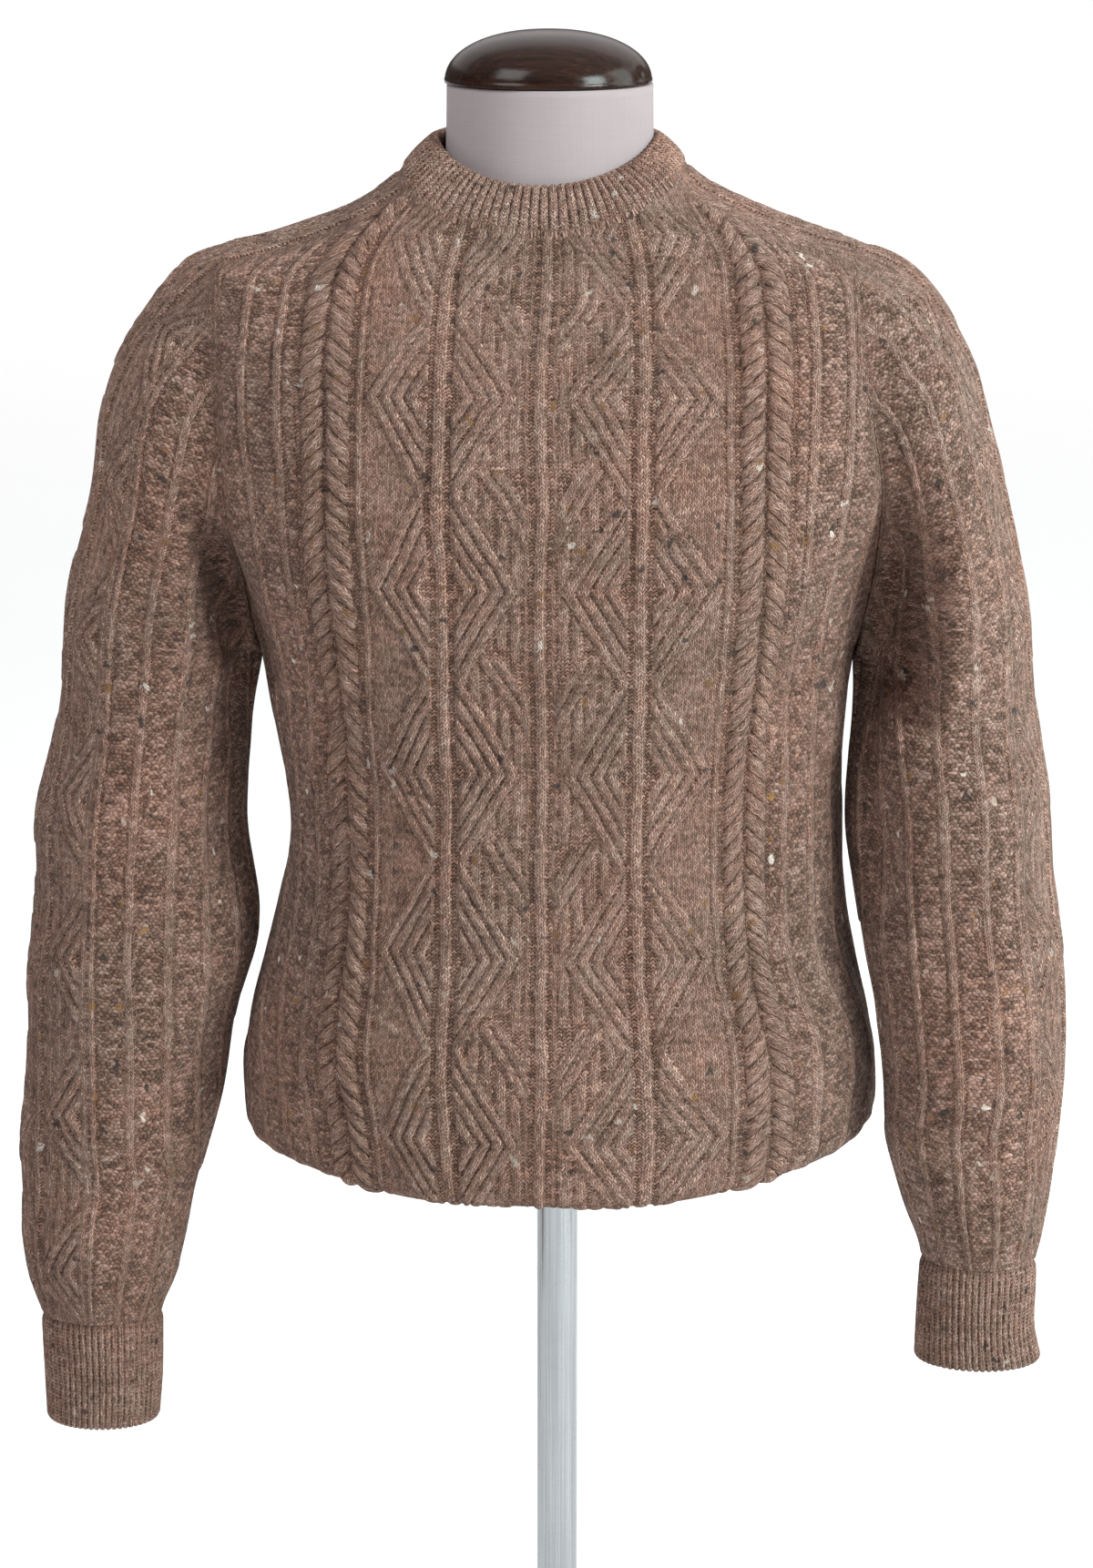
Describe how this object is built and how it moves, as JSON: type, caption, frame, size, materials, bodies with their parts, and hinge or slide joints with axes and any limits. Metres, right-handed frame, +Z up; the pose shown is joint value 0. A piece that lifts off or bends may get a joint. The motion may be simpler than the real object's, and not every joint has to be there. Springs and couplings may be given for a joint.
{
  "type": "cable knit sweater on a limbless dress form with a stand",
  "caption": "Saddle-shoulder crew-neck cable knit pullover with long sleeves and rib cuffs, worn on a padded neck-capped dress form on a pole stand.",
  "frame": {"origin": "on the floor, at the centre of the underside of the stand's round base", "axes": "+Z up along the pole; the wearer faces -Y, so the front panel is on -Y and the wearer's left sleeve on +X"},
  "size_m": [0.611, 0.3, 1.0343],
  "materials": {
    "knit_wool": "heathered, flecked wool yarn, matt",
    "rib_wool": "the same yarn in one-by-one rib, matt",
    "linen": "fine off-white cloth, matt",
    "dark_wood": "dark stained, gloss varnish",
    "steel": "satin"
  },
  "bodies": {
    "root": {"front": "knit_wool", "back": "knit_wool", "sleeve_right": "knit_wool", "sleeve_left": "knit_wool", "cuff_right": "rib_wool", "cuff_left": "rib_wool", "collar": "rib_wool", "hem_band": "rib_wool", "form_torso": "linen", "form_cap": "dark_wood", "stand_pole": "steel", "stand_base": "dark_wood"}
  },
  "joints": []
}
